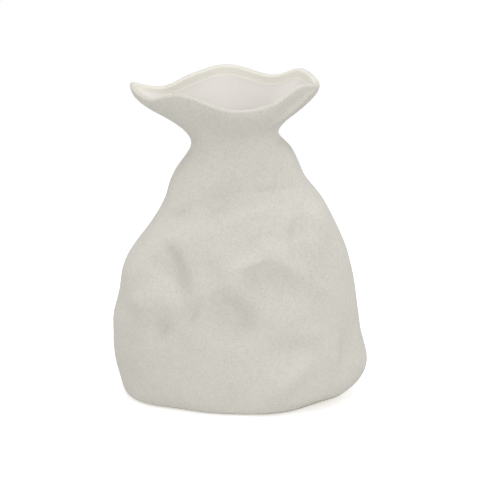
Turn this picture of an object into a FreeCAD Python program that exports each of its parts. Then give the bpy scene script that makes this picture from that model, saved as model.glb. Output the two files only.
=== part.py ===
# Soft, crumpled pillow vase in stoneware: two pressed wall halves on a base slab, a flared collar,
# a glaze lining inside and four rubber pads below. Lengths are in millimetres, +Z is up and the
# front faces -Y. The origin is on the table, under the middle of the vase.
import FreeCAD, Part
import Sketcher
import math
import os

# Driving sizes: the reach of the skin to each side of the axis at four heights, and the rest by name.
# Heights run from the foot, but that of the mouth from the neck.
SIZES = {
    "foot_left": 96.5,
    "foot_right": 89.0,
    "foot_front": 55.5,
    "foot_back": 49.0,
    "belly_left": 107.5,
    "belly_right": 101.5,
    "belly_front": 61.0,
    "belly_back": 60.5,
    "neck_left": 41.0,
    "neck_right": 31.5,
    "neck_front": 31.0,
    "neck_back": 29.0,
    "mouth_left": 90.0,
    "mouth_right": 65.0,
    "mouth_front": 45.0,
    "mouth_back": 50.0,
    "belly_height": 48.0,
    "joint_height": 192.0,
    "neck_height": 222.0,
    "mouth_height": 40.0,
    "mouth_wave": 13.0,
    "neck_tilt": 5.0,
    "turn_height": 120.0,
    "dent_depth": 6.0,
    "side_blend": 14.0,
    "wall_thickness": 5.0,
    "base_thickness": 8.0,
    "glaze_thickness": 0.5,
    "glaze_margin": 6.0,
    "foot_radius": 3.0,
    "foot_ring_width": 12.0,
    "recess_depth": 1.5,
    "pad_diameter": 10.0,
    "pad_thickness": 2.2,
    "pad_edge_radius": 0.5,
    "pad_gap": 2.0,
}
FOOT_TURN_DEGREES = 4.0
SQUARENESS_SHARE = 0.02
SLOPE_STEP_SHARE = 0.001
# How far up the collar, from its joint, its rings turn from flat to tilted and wavy.
JOINT_BLEND_SHARE = 3 / 7

# Ring heights, foot to belly, and how far each side (left, right, front, back) has swollen there.
LOWER_SHARES = [
    (0.00, 0.00, 0.00, 0.00, 0.00),
    (0.10, 0.28, 0.45, 0.30, 0.30),
    (0.28, 0.55, 0.80, 0.55, 0.55),
    (0.62, 0.88, 1.00, 0.85, 0.85),
    (1.00, 1.00, 1.00, 1.00, 1.00),
]
# Ring heights, belly to neck, and how far each side has drawn in there.
UPPER_SHARES = [
    (0.00, 0.00, 0.00, 0.00, 0.00),
    (0.12, 0.01, 0.02, 0.00, -0.02),
    (0.25, 0.09, 0.06, 0.00, -0.03),
    (0.37, 0.15, 0.12, 0.02, 0.00),
    (0.47, 0.28, 0.19, 0.06, 0.08),
    (0.58, 0.49, 0.31, 0.18, 0.24),
    (0.70, 0.67, 0.47, 0.46, 0.46),
    (0.80, 0.76, 0.66, 0.80, 0.68),
    (0.92, 0.93, 0.83, 0.97, 0.90),
    (1.00, 1.00, 1.00, 1.00, 1.00),
]
# The flare from rim to neck: share of the fall, share of the spread that is left.
FLARE_SHARES = [
    (0.00, 1.00),
    (0.18, 0.94),
    (0.34, 0.79),
    (0.55, 0.50),
    (0.75, 0.19),
    (0.88, 0.05),
    (1.00, 0.00),
]
# The rim every 30 degrees from the right: across, back (of the mouth's reach there), up (of its wave).
RIM_SHARES = [
    (1.00, 0.04, 0.35),
    (0.80, 0.44, 1.00),
    (0.42, 0.72, 0.40),
    (-0.11, 1.00, 0.86),
    (-0.44, 0.80, 0.46),
    (-0.73, 0.48, -0.18),
    (-1.00, 0.06, 0.36),
    (-0.84, -0.27, -0.42),
    (-0.53, -0.62, 0.10),
    (-0.08, -1.00, -0.60),
    (0.37, -0.83, -0.40),
    (0.74, -0.42, 0.48),
]
# Dents (+) and folds (-): across and half length and half width (of the belly's half width),
# up (of the neck height), tilt in degrees, depth (of the deepest dent).
FRONT_DENT_SHARES = [
    (-0.25, 0.770, 0.22, 0.12, 5, 0.90),
    (0.08, 0.745, 0.30, 0.12, 18, -0.45),
    (0.44, 0.695, 0.17, 0.08, 95, 0.55),
    (-0.53, 0.545, 0.17, 0.11, -62, 0.65),
    (-0.67, 0.550, 0.14, 0.09, 80, -0.30),
    (-0.52, 0.468, 0.20, 0.09, -25, -0.40),
    (-0.68, 0.333, 0.17, 0.12, -35, 0.90),
    (-0.05, 0.568, 0.37, 0.09, 25, -0.60),
    (-0.01, 0.378, 0.22, 0.13, -40, 1.00),
    (0.33, 0.509, 0.29, 0.11, -22, 0.70),
    (0.44, 0.595, 0.31, 0.08, -28, -0.30),
    (0.37, 0.257, 0.25, 0.11, 12, 0.65),
    (0.42, 0.189, 0.29, 0.09, 15, -0.40),
    (-0.36, 0.428, 0.10, 0.07, 80, 0.35),
    (-0.06, 0.297, 0.14, 0.12, 0, -0.35),
    (0.87, 0.203, 0.24, 0.07, -80, 0.80),
    (0.61, 0.743, 0.15, 0.09, -45, -0.35),
    (-0.58, 1.045, 0.28, 0.12, -35, 0.90),
    (0.67, 0.000, 0.26, 0.10, 4, 1.40),
    (-0.51, 0.000, 0.22, 0.10, 0, 0.55),
]
BACK_DENT_SHARES = [
    (0.20, 0.800, 0.26, 0.10, -20, 0.60),
    (0.10, 0.730, 0.38, 0.09, -12, -0.45),
    (-0.42, 0.640, 0.18, 0.09, 60, 0.60),
    (0.52, 0.560, 0.20, 0.09, 70, 0.55),
    (-0.05, 0.520, 0.22, 0.09, 35, 0.65),
    (-0.28, 0.575, 0.26, 0.08, 30, -0.40),
    (0.30, 0.420, 0.26, 0.08, 40, -0.40),
    (0.12, 0.300, 0.22, 0.10, -15, 0.60),
    (-0.58, 0.330, 0.18, 0.10, -60, 0.60),
    (0.66, 0.260, 0.18, 0.09, 50, 0.50),
    (-0.20, 0.170, 0.30, 0.09, -12, -0.35),
]
EDGE_DENT_SHARES = [
    (1.01, 0.118, 0.22, 0.10, 97, -1.35),
]

RING_POINTS = 96
# Rings of points on each stretch of the skin: floor to joint, to its blend's top, to the glaze, to the lip.
STRETCH_RINGS = (30, 5, 9, 2)
LIP_RINGS = 7
FOOT_RINGS = 5
BASE_RINGS = 3
PAD_TURN_SHARES = {
    "foot_pad_back_right": 0.16,
    "foot_pad_back_left": 0.34,
    "foot_pad_front_left": 0.66,
    "foot_pad_front_right": 0.84,
}
SIDES = ("left", "right", "front", "back")

document = FreeCAD.newDocument("pillow_vase")
sheet = document.addObject("Spreadsheet::Sheet", "Sizes")
for row, (alias, value) in enumerate(SIZES.items(), start=1):
    sheet.set(f"A{row}", alias)
    sheet.set(f"B{row}", str(value))
    sheet.setAlias(f"B{row}", alias)
document.recompute()
SIZE = {alias: float(sheet.get(alias)) for alias in SIZES}


def ease(share):
    """Smooth step from 0 to 1."""
    share = max(0.0, min(1.0, share))
    return share * share * (3 - 2 * share)


def slope_at(rows, index, column):
    """Slope of a column at a row: level at the last row, where the table meets the next one."""
    if index == len(rows) - 1:
        return 0.0
    before, after = rows[max(index - 1, 0)], rows[index + 1]
    return (after[column] - before[column]) / (after[0] - before[0])


def along(rows, share, column):
    """A column of a table of shares, read smoothly at a share of its first column."""
    index = 0
    while index < len(rows) - 2 and rows[index + 1][0] <= share:
        index += 1
    low, high = rows[index], rows[index + 1]
    width = high[0] - low[0]
    t = (share - low[0]) / width
    start = low[column] * (1 + 2 * t) * (1 - t) ** 2
    end = high[column] * (3 - 2 * t) * t**2
    leaving = slope_at(rows, index, column) * t * (1 - t) ** 2
    arriving = slope_at(rows, index + 1, column) * (1 - t) * t**2
    return start + end + (leaving - arriving) * width


def around(rows, turn, column):
    """A column of a closed table of evenly spaced rows, read smoothly at a share of a full turn."""
    place = (turn % 1.0) * len(rows)
    index = int(place)
    t = place - index
    a, b, c, d = (rows[(index + offset) % len(rows)][column] for offset in (-1, 0, 1, 2))
    return b + t / 2 * (c - a + t * (2 * a - 5 * b + 4 * c - d + t * (3 * (b - c) + d - a)))


def body_ring(height, angle):
    """Across and back of the smooth body at a height between the foot and the neck."""
    if height < SIZE["belly_height"]:
        rows, low, high = LOWER_SHARES, "foot_", "belly_"
        share = height / SIZE["belly_height"]
    else:
        rows, low, high = UPPER_SHARES, "belly_", "neck_"
        share = (height - SIZE["belly_height"]) / (SIZE["neck_height"] - SIZE["belly_height"])
    left, right, front, back = (
        SIZE[low + side] + (SIZE[high + side] - SIZE[low + side]) * along(rows, share, column)
        for column, side in enumerate(SIDES, start=1)
    )
    cosine = (math.cos(angle) - SQUARENESS_SHARE * math.cos(3 * angle)) / (1 - SQUARENESS_SHARE)
    sine = (math.sin(angle) + SQUARENESS_SHARE * math.sin(3 * angle)) / (1 - SQUARENESS_SHARE)
    across = (right - left) / 2 + (right + left) / 2 * cosine
    depth = (back - front) / 2 + (back + front) / 2 * sine
    turn = math.radians(FOOT_TURN_DEGREES) * (1 - ease(height / SIZE["turn_height"]))
    return (
        across * math.cos(turn) + depth * math.sin(turn),
        depth * math.cos(turn) - across * math.sin(turn),
    )


def height_at(level):
    """Mean height of the ring at a level: level 0 is the foot, 1 the neck and 2 the rim."""
    return SIZE["neck_height"] * min(level, 1) + SIZE["mouth_height"] * max(level - 1, 0)


def level_of(height):
    above_neck = height - SIZE["neck_height"]
    return height / SIZE["neck_height"] if above_neck < 0 else 1 + above_neck / SIZE["mouth_height"]


def joint_blend():
    return JOINT_BLEND_SHARE * (height_at(2) - SIZE["joint_height"])


def above_joint(level):
    """0 up to the collar's joint, where rings stay flat, rising to 1 over the blend above it."""
    return ease((height_at(level) - SIZE["joint_height"]) / joint_blend())


def smooth_skin(angle, level):
    """A point of the skin at a level, before it is dented."""
    across, depth = body_ring(height_at(min(level, 1)), angle)
    rise = SIZE["neck_tilt"] * math.cos(angle) * min(2 - level, 1)
    if level > 1:
        spread = along(FLARE_SHARES, 2 - level, 1)
        rim_across, rim_depth, up = (
            around(RIM_SHARES, angle / (2 * math.pi), column) for column in range(3)
        )
        rim_across *= SIZE["mouth_right" if rim_across > 0 else "mouth_left"]
        rim_depth *= SIZE["mouth_back" if rim_depth > 0 else "mouth_front"]
        across += (rim_across - across) * spread
        depth += (rim_depth - depth) * spread
        rise += SIZE["mouth_wave"] * up * (level - 1)
    return FreeCAD.Vector(across, depth, height_at(level) + rise * above_joint(level))


def skin_frame(angle, level):
    """Outward normal and upward tangent of the smooth skin."""
    step = SLOPE_STEP_SHARE
    sideways = smooth_skin(angle + step, level) - smooth_skin(angle - step, level)
    upwards = smooth_skin(angle, min(level + step, 2)) - smooth_skin(angle, max(level - step, 0))
    return sideways.cross(upwards).normalize(), upwards.normalize()


def dent_at(point):
    """How far the dents and folds push the skin in at a point."""
    half_width = (SIZE["belly_left"] + SIZE["belly_right"]) / 2
    on_back = 0.5 + 0.5 * math.tanh(point.y / SIZE["side_blend"])
    total = 0.0
    for rows, strength in (
        (FRONT_DENT_SHARES, 1 - on_back),
        (BACK_DENT_SHARES, on_back),
        (EDGE_DENT_SHARES, 1),
    ):
        for across, up, long, wide, tilt, depth in rows:
            x = point.x - across * half_width
            z = point.z - up * SIZE["neck_height"]
            tilt = math.radians(tilt)
            u = (x * math.cos(tilt) + z * math.sin(tilt)) / (long * half_width)
            v = (z * math.cos(tilt) - x * math.sin(tilt)) / (wide * half_width)
            total += strength * depth * math.exp(-u * u - v * v)
    return total * SIZE["dent_depth"]


def level_at(station, angle, floor_rise=0.0):
    """Level of the skin at a station.

    Station 0 is the floor, 1 the joint, 2 the top of its blend, 3 the glaze's edge, 4 the lip's start.
    """
    last_run = smooth_skin(angle, 2) - smooth_skin(angle, 2 - SLOPE_STEP_SHARE)
    run_per_level = last_run.Length / SLOPE_STEP_SHARE
    lip = 2 - SIZE["wall_thickness"] / 2 / run_per_level
    glaze_edge = lip - SIZE["glaze_margin"] / run_per_level
    heights = (SIZE["base_thickness"] + floor_rise, SIZE["joint_height"], SIZE["joint_height"] + joint_blend())
    marks = [level_of(height) for height in heights] + [glaze_edge, lip]
    index = min(int(station), len(marks) - 2)
    return marks[index] + (marks[index + 1] - marks[index]) * (station - index)


def skin(angle, level, inset=0.0):
    """A point of the dented skin, or of a surface a given distance inside it.

    Below the collar's joint points move level, so that every ring there stays flat.
    """
    point = smooth_skin(angle, level)
    normal, _ = skin_frame(angle, level)
    outwards = FreeCAD.Vector(normal.x, normal.y, normal.z * above_joint(level))
    outwards = outwards / outwards.dot(normal)
    point = point - outwards * (dent_at(point) + inset)
    point.z += SIZE["pad_thickness"] - SIZE["recess_depth"]
    return point


def ring_angles():
    return [2 * math.pi * index / RING_POINTS for index in range(RING_POINTS)]


def stations_up_to(last):
    """Stations of the rings from the floor to a mark, both included."""
    counts = enumerate(STRETCH_RINGS[:last])
    return [mark + index / count for mark, count in counts for index in range(count)] + [last]


def ring(station, inset, floor_rise=0.0):
    """A closed ring of points of the skin, or of a surface a given distance inside it."""
    return [skin(angle, level_at(station, angle, floor_rise), inset) for angle in ring_angles()]


def lip_ring(share):
    """A ring round the lip, a half circle that starts outside and ends inside."""
    points = []
    for angle in ring_angles():
        level = level_at(4, angle)
        outside, inside = skin(angle, level), skin(angle, level, SIZE["wall_thickness"])
        _, upwards = skin_frame(angle, level)
        swing = math.pi * share
        reach = upwards * (SIZE["wall_thickness"] / 2 * math.sin(swing))
        points.append((outside + inside) / 2 + (outside - inside) / 2 * math.cos(swing) + reach)
    return points


def places_of(rings):
    """Places of rings along a surface: the mean distance run from the first ring."""
    places = [0.0]
    for low, high in zip(rings, rings[1:]):
        run = sum((a - b).Length for a, b in zip(low, high)) / len(low)
        places.append(places[-1] + run)
    return places


def closed_curve(points):
    turns = [float(index) for index in range(len(points) + 1)]
    curve = Part.BSplineCurve()
    curve.interpolate(Points=points, PeriodicFlag=True, Parameters=turns)
    return curve


def smooth_surface(rings, places):
    """One smooth surface through closed rings of points: turns run round it, places run along it."""
    poles_of_rings = [closed_curve(points).getPoles() for points in rings]
    lines = []
    for column in zip(*poles_of_rings):
        line = Part.BSplineCurve()
        line.interpolate(Points=list(column), Parameters=places)
        lines.append(line)
    first = closed_curve(rings[0])
    surface = Part.BSplineSurface()
    surface.buildFromPolesMultsKnots(
        [line.getPoles() for line in lines],
        first.getMultiplicities(),
        lines[0].getMultiplicities(),
        first.getKnots(),
        lines[0].getKnots(),
        True,
        False,
        first.Degree,
        lines[0].Degree,
    )
    return surface


def flat_face(*outlines):
    """A flat face inside the first outline, less the others."""
    return Part.makeFace([Part.Wire(outline) for outline in outlines], "Part::FaceMakerBullseye")


def closed_solid(faces):
    shell = Part.makeShell(faces)
    shell.sewShape()
    solid = Part.makeSolid(shell)
    if solid.Volume < 0:
        solid.reverse()
    return solid


def cross_wall(surface, turn, outside, inside):
    """The narrow face that cuts the wall from outside to inside at a turn."""
    lines = []
    for first, last in (outside, inside):
        line = surface.uIso(turn)
        line.segment(first, last)
        lines.append(line)
    lines[1].reverse()
    return Part.makeRuledSurface(lines[0].toShape(), lines[1].toShape())


def cross_edges(surface, place, first_turn, last_turn):
    line = surface.vIso(place)
    line.segment(first_turn, last_turn)
    return line.toShape()


def wall_half(surface, first_turn, last_turn, outside, inside):
    """Half of the body's wall, from the base up to the collar."""
    faces = []
    for first, last in (outside, inside):
        half = surface.copy()
        half.segment(first_turn, last_turn, first, last)
        faces.append(half.toShape())
    faces += [cross_wall(surface, turn, outside, inside) for turn in (first_turn, last_turn)]
    for outer_place, inner_place in ((outside[0], inside[1]), (outside[1], inside[0])):
        outer = cross_edges(surface, outer_place, first_turn, last_turn)
        inner = cross_edges(surface, inner_place, first_turn, last_turn)
        ends = [
            Part.makeLine(outer.Vertexes[end].Point, inner.Vertexes[end].Point)
            for end in (0, -1)
        ]
        faces.append(flat_face(Part.__sortEdges__([outer, inner] + ends)))
    return closed_solid(faces)


def band(surface, first, last):
    """The stretch of a closed surface between two places."""
    return surface.toShape(0, float(RING_POINTS), first, last)


def base_solid():
    """The base: rounded foot edge, flat foot ring, shallow recess below and flat floor above."""
    radius, top = SIZE["foot_radius"], SIZE["base_thickness"]
    rings = []
    for index in range(FOOT_RINGS):
        swing = math.pi / 2 * index / FOOT_RINGS
        level = level_of(radius * (1 - math.cos(swing)))
        rings.append([skin(angle, level, radius * (1 - math.sin(swing))) for angle in ring_angles()])
    for index in range(BASE_RINGS + 1):
        level = level_of(radius + (top - radius) * index / BASE_RINGS)
        rings.append([skin(angle, level) for angle in ring_angles()])
    places = places_of(rings)
    side = smooth_surface(rings, places)
    recess = [skin(angle, 0, SIZE["foot_ring_width"]) for angle in ring_angles()]
    raised = [point + FreeCAD.Vector(0, 0, SIZE["recess_depth"]) for point in recess]
    recess_edge, ceiling_edge = closed_curve(recess).toShape(), closed_curve(raised).toShape()
    faces = [
        band(side, 0, places[-1]),
        flat_face([side.vIso(places[-1]).toShape()]),
        flat_face([side.vIso(0).toShape()], [recess_edge]),
        Part.makeRuledSurface(recess_edge, ceiling_edge),
        flat_face([ceiling_edge]),
    ]
    return closed_solid(faces)


def collar_solid(surface, outside_joint, inside_joint):
    """Neck, flare and rounded lip, standing on the body's wall."""
    faces = [
        band(surface, outside_joint, inside_joint),
        flat_face([surface.vIso(outside_joint).toShape()], [surface.vIso(inside_joint).toShape()]),
    ]
    return closed_solid(faces)


def lining_solid(surface, glaze_edge, floor):
    """The thin coat of glaze over the inside wall and the floor, ending below the lip."""
    inset = SIZE["wall_thickness"] + SIZE["glaze_thickness"]
    rings = [ring(station, inset, SIZE["glaze_thickness"]) for station in reversed(stations_up_to(3))]
    places = places_of(rings)
    inner = smooth_surface(rings, places)
    faces = [
        band(surface, glaze_edge, floor),
        band(inner, 0, places[-1]),
        flat_face([surface.vIso(floor).toShape()]),
        flat_face([inner.vIso(places[-1]).toShape()]),
        Part.makeRuledSurface(surface.vIso(glaze_edge).toShape(), inner.vIso(0).toShape()),
    ]
    return closed_solid(faces)


def add_solid(name, shape):
    feature = document.addObject("Part::Feature", name)
    feature.Label = name
    feature.Shape = shape
    feature.Placement = FreeCAD.Placement()


def add_foot_pad(name, turn_share):
    """A round pad with a softened lower edge, stuck to the ceiling of the recess."""
    body = document.addObject("PartDesign::Body", name)
    body.Label = name
    floor_plane = next(plane for plane in body.Origin.OriginFeatures if plane.Role == "XY_Plane")
    sketch = body.newObject("Sketcher::SketchObject", name + "_outline")
    sketch.AttachmentSupport = (floor_plane, [""])
    sketch.MapMode = "FlatFace"
    circle = sketch.addGeometry(
        Part.Circle(FreeCAD.Vector(), FreeCAD.Vector(0, 0, 1), SIZE["pad_diameter"] / 2),
        False,
    )
    sketch.addConstraint(Sketcher.Constraint("Coincident", circle, 3, -1, 1))
    diameter = sketch.addConstraint(Sketcher.Constraint("Diameter", circle, SIZE["pad_diameter"]))
    sketch.setExpression(f"Constraints[{diameter}]", "Sizes.pad_diameter")
    disc = body.newObject("PartDesign::Pad", name + "_disc")
    disc.Profile = sketch
    disc.setExpression("Length", "Sizes.pad_thickness")
    document.recompute()
    lower_edge = next(
        f"Edge{index}"
        for index, edge in enumerate(disc.Shape.Edges, start=1)
        if edge.isClosed() and edge.BoundBox.ZMax < SIZE["pad_thickness"] / 2
    )
    rounding = body.newObject("PartDesign::Fillet", name + "_edge")
    rounding.Base = (disc, [lower_edge])
    rounding.setExpression("Radius", "Sizes.pad_edge_radius")
    inset = SIZE["foot_ring_width"] + SIZE["pad_gap"] + SIZE["pad_diameter"] / 2
    place = skin(2 * math.pi * turn_share, 0, inset)
    body.Placement = FreeCAD.Placement(FreeCAD.Vector(place.x, place.y, 0), FreeCAD.Rotation())


# The skin runs up the outside, round the lip and down the inside.
outside_rings = [ring(station, 0) for station in stations_up_to(4)]
lip_rings = [lip_ring((index + 1) / (LIP_RINGS + 1)) for index in range(LIP_RINGS)]
inside_rings = [ring(station, SIZE["wall_thickness"]) for station in reversed(stations_up_to(4))]
skin_rings = outside_rings + lip_rings + inside_rings
skin_places = places_of(skin_rings)
skin_surface = smooth_surface(skin_rings, skin_places)
joint_ring = STRETCH_RINGS[0]
glaze_ring = sum(STRETCH_RINGS[:-1])
last_ring = len(skin_rings) - 1
outside = (0, skin_places[joint_ring])
inside = (skin_places[last_ring - joint_ring], skin_places[last_ring])
half_turn = RING_POINTS / 2

add_solid("base_slab", base_solid())
add_solid("back_wall", wall_half(skin_surface, 0, half_turn, outside, inside))
add_solid("front_wall", wall_half(skin_surface, half_turn, 2 * half_turn, outside, inside))
add_solid("flared_collar", collar_solid(skin_surface, outside[1], inside[0]))
add_solid("glaze_lining", lining_solid(skin_surface, skin_places[last_ring - glaze_ring], inside[1]))
for pad_name, pad_turn_share in PAD_TURN_SHARES.items():
    add_foot_pad(pad_name, pad_turn_share)
document.recompute()

for item in document.Objects:
    if "Invalid" in item.State or "Error" in item.State:
        raise RuntimeError(f"{item.Label} did not build")

os.makedirs("parts", exist_ok=True)
for item in document.Objects:
    if item.TypeId in ("Part::Feature", "PartDesign::Body"):
        if item.Shape.isNull() or not item.Shape.isValid() or len(item.Shape.Solids) != 1:
            raise RuntimeError(f"{item.Label} is not one sound solid")
        item.Shape.exportStep(f"parts/{item.Label}.step")
        print(item.Label, round(item.Shape.Volume), "mm3")
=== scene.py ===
import functools
import math

import bpy
import numpy as np
from bpy.props import FloatProperty, FloatVectorProperty, IntProperty, PointerProperty
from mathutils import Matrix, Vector


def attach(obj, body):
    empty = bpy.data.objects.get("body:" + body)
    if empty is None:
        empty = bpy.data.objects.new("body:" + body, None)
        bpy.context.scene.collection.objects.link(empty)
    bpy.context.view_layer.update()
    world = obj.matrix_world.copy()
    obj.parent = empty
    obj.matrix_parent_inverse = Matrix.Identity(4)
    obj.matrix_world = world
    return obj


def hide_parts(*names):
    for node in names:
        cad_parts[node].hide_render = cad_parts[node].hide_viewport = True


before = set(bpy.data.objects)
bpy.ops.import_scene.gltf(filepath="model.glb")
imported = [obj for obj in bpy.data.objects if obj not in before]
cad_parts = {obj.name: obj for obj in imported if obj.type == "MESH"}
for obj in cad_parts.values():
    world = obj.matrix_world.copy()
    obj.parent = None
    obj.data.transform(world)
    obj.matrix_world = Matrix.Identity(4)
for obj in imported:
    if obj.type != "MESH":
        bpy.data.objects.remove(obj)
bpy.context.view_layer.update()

bl_info = {
    "name": "Pillow vase",
    "version": (1, 0, 0),
    "blender": (4, 5, 0),
    "location": "3D View > Sidebar > Vase",
    "description": "Makes a crumpled stoneware vase with its glaze lining and foot pads, on a plain stage",
    "category": "Add Mesh",
}

MM = 0.001

# The vase's form in shares, the same as in the CAD source: heights from foot to belly and how far each
# side (left, right, front, back) has swollen there.
LOWER_SHARES = [
    (0.00, 0.00, 0.00, 0.00, 0.00),
    (0.10, 0.28, 0.45, 0.30, 0.30),
    (0.28, 0.55, 0.80, 0.55, 0.55),
    (0.62, 0.88, 1.00, 0.85, 0.85),
    (1.00, 1.00, 1.00, 1.00, 1.00),
]
# Heights from belly to neck, and how far each side has drawn in there.
UPPER_SHARES = [
    (0.00, 0.00, 0.00, 0.00, 0.00),
    (0.12, 0.01, 0.02, 0.00, -0.02),
    (0.25, 0.09, 0.06, 0.00, -0.03),
    (0.37, 0.15, 0.12, 0.02, 0.00),
    (0.47, 0.28, 0.19, 0.06, 0.08),
    (0.58, 0.49, 0.31, 0.18, 0.24),
    (0.70, 0.67, 0.47, 0.46, 0.46),
    (0.80, 0.76, 0.66, 0.80, 0.68),
    (0.92, 0.93, 0.83, 0.97, 0.90),
    (1.00, 1.00, 1.00, 1.00, 1.00),
]
# The flare from rim to neck: share of the fall, share of the spread that is left.
FLARE_SHARES = [
    (0.00, 1.00),
    (0.18, 0.94),
    (0.34, 0.79),
    (0.55, 0.50),
    (0.75, 0.19),
    (0.88, 0.05),
    (1.00, 0.00),
]
# The rim every 30 degrees from the right: across, back (of the mouth's reach there), up (of its wave).
RIM_SHARES = [
    (1.00, 0.04, 0.35),
    (0.80, 0.44, 1.00),
    (0.42, 0.72, 0.40),
    (-0.11, 1.00, 0.86),
    (-0.44, 0.80, 0.46),
    (-0.73, 0.48, -0.18),
    (-1.00, 0.06, 0.36),
    (-0.84, -0.27, -0.42),
    (-0.53, -0.62, 0.10),
    (-0.08, -1.00, -0.60),
    (0.37, -0.83, -0.40),
    (0.74, -0.42, 0.48),
]
# Dents (+) and folds (-) of the front: across, up (of the neck height), half length, half width, tilt in
# degrees, depth (of the dent depth). Across and both halves are of the belly's half width, and a half
# ends where 37% of the depth is left. About 30 of the 39 rows here and in the finer folds below come from
# a scratch script's least-squares fit to the photograph's light and shade, rounded to coarser steps. They
# lie closer to the real folds than the CAD source's rows do.
FRONT_DENT_SHARES = [
    (-0.29, 0.77, 0.23, 0.15, 20, 1.10),
    (-0.01, 0.76, 0.26, 0.07, 25, -0.60),
    (0.44, 0.655, 0.17, 0.06, -85, 0.90),
    (-0.54, 0.51, 0.20, 0.09, -55, 1.15),
    (-0.65, 0.62, 0.36, 0.08, 50, -0.55),
    (-0.40, 0.44, 0.26, 0.105, -30, -0.45),
    (-0.65, 0.315, 0.105, 0.07, 50, 0.90),
    (0.18, 0.63, 0.28, 0.07, 45, -0.35),
    (-0.02, 0.38, 0.16, 0.18, -60, 1.95),
    (0.20, 0.505, 0.345, 0.17, -15, 1.10),
    (0.43, 0.555, 0.34, 0.07, -40, -0.40),
    (0.455, 0.275, 0.24, 0.13, 25, 0.80),
    (0.36, 0.135, 0.24, 0.10, 45, -1.15),
    (-0.365, 0.405, 0.18, 0.04, 60, 0.45),
    (-0.16, 0.45, 0.075, 0.13, 25, 0.45),
    (0.87, 0.20, 0.24, 0.07, -85, 1.10),
    (0.57, 0.745, 0.18, 0.075, -60, -0.85),
    (-0.58, 1.045, 0.28, 0.12, -35, 0.90),
    (0.67, 0.00, 0.26, 0.10, 5, 1.40),
    (-0.51, 0.00, 0.22, 0.10, 0, 0.55),
]
# The back's, the same as in the CAD source.
BACK_DENT_SHARES = [
    (0.20, 0.80, 0.26, 0.10, -20, 0.60),
    (0.10, 0.73, 0.38, 0.09, -12, -0.45),
    (-0.42, 0.64, 0.18, 0.09, 60, 0.60),
    (0.52, 0.56, 0.20, 0.09, 70, 0.55),
    (-0.05, 0.52, 0.22, 0.09, 35, 0.65),
    (-0.28, 0.575, 0.26, 0.08, 30, -0.40),
    (0.30, 0.42, 0.26, 0.08, 40, -0.40),
    (0.12, 0.30, 0.22, 0.10, -15, 0.60),
    (-0.58, 0.33, 0.18, 0.10, -60, 0.60),
    (0.66, 0.26, 0.18, 0.09, 50, 0.50),
    (-0.20, 0.17, 0.30, 0.09, -12, -0.35),
]
# The swelling low on the right edge, which both halves share, also as in the CAD source.
EDGE_DENT_SHARES = [
    (1.01, 0.118, 0.22, 0.10, 97, -1.35),
]
# Finer folds of the front: two under the mouth's right lobe, one down the neck's right, three along the
# shoulder from left to right, two swellings above it, one in the left hollow, one at the crest's right end
# and the crest's short glint. The last eight steepen the belly's hollows and swellings.
FINE_FOLD_SHARES = [
    (0.407, 1.126, 0.18, 0.02, 35, -0.50),
    (0.402, 1.153, 0.115, 0.03, 25, 0.12),
    (0.295, 0.905, 0.19, 0.03, 88, 0.24),
    (-0.52, 0.72, 0.13, 0.06, 35, 0.80),
    (-0.18, 0.785, 0.19, 0.03, 35, 0.30),
    (0.21, 0.825, 0.23, 0.05, 5, 0.55),
    (-0.05, 0.93, 0.28, 0.13, 5, -0.35),
    (-0.32, 0.825, 0.29, 0.11, 50, -0.85),
    (-0.51, 0.575, 0.18, 0.08, -60, 0.95),
    (0.38, 0.655, 0.22, 0.10, -5, -0.45),
    (0.075, 0.595, 0.12, 0.045, 20, -0.45),
    (0.00, 0.50, 0.245, 0.115, -60, -1.15),
    (-0.56, 0.49, 0.26, 0.125, -35, 0.40),
    (-0.77, 0.415, 0.12, 0.115, -35, -0.85),
    (-0.24, 0.485, 0.23, 0.10, 20, -0.65),
    (0.53, 0.30, 0.13, 0.095, 10, -0.80),
    (0.23, 0.66, 0.19, 0.11, 15, 1.00),
    (-0.77, 0.39, 0.41, 0.11, -40, 0.80),
    (-0.81, 0.40, 0.30, 0.10, -45, -0.60),
]
DENT_COLUMNS = ("Across share", "Up share", "Length share", "Width share", "Tilt", "Depth share")
PAD_NODES = ("foot_pad_back_right", "foot_pad_back_left", "foot_pad_front_left", "foot_pad_front_right")
SIDES = ("left", "right", "front", "back")
# How far the rings lean towards a rectangle.
SQUARENESS_SHARE = 0.02
# The step in angle and in level over which the skin's slopes are taken.
SLOPE_STEP_SHARE = 0.001
# How much of the height from the joint to the rim it takes for the rings to tilt fully.
JOINT_BLEND_SHARE = 3 / 7

# Mesh fineness: points round a ring, rings on each stretch of the wall (floor to joint, to the top of
# its blend, to the glaze's edge, to the lip), rings on the smaller parts and on the lining's stretches.
RING_POINTS = 480
WALL_RINGS = (160, 26, 46, 6)
LIP_RINGS = 20
FOOT_RINGS = 6
BASE_RINGS = 8
LINING_RINGS = (70, 14, 24)
LINING_EDGE_RINGS = 3
CAP_RINGS = 12
# The lining's hidden side takes every fourth ring.
LINING_HIDDEN_STEP = 4
# Where on the lip's half circle, from outside to inside, the mouth's painted paler tone begins, and over
# how much of it the tone grows to its full strength. It is partly the rim's paler glaze and partly painted
# light on the half that turns up and in towards the lamps.
LIP_PALE_AND_PAINTED_LIGHT_START_SHARE = 0.5
LIP_PALE_AND_PAINTED_LIGHT_RUN_SHARE = 0.4
# On the base, a face whose way out points down by this much or more is bare clay.
DOWNWARD_SHARE = -0.7

# Kinds of node that are used most.
MATH = "ShaderNodeMath"
VECTOR = "ShaderNodeVectorMath"
NOISE = "ShaderNodeTexNoise"
ATTRIBUTE = "GeometryNodeInputNamedAttribute"
# The Mix node's inputs share names, so they go by number: 0 is the factor, 2 and 3 are the numbers to mix,
# 6 and 7 the colours. Output 2 is the mixed colour.
MIX = "ShaderNodeMix"

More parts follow.
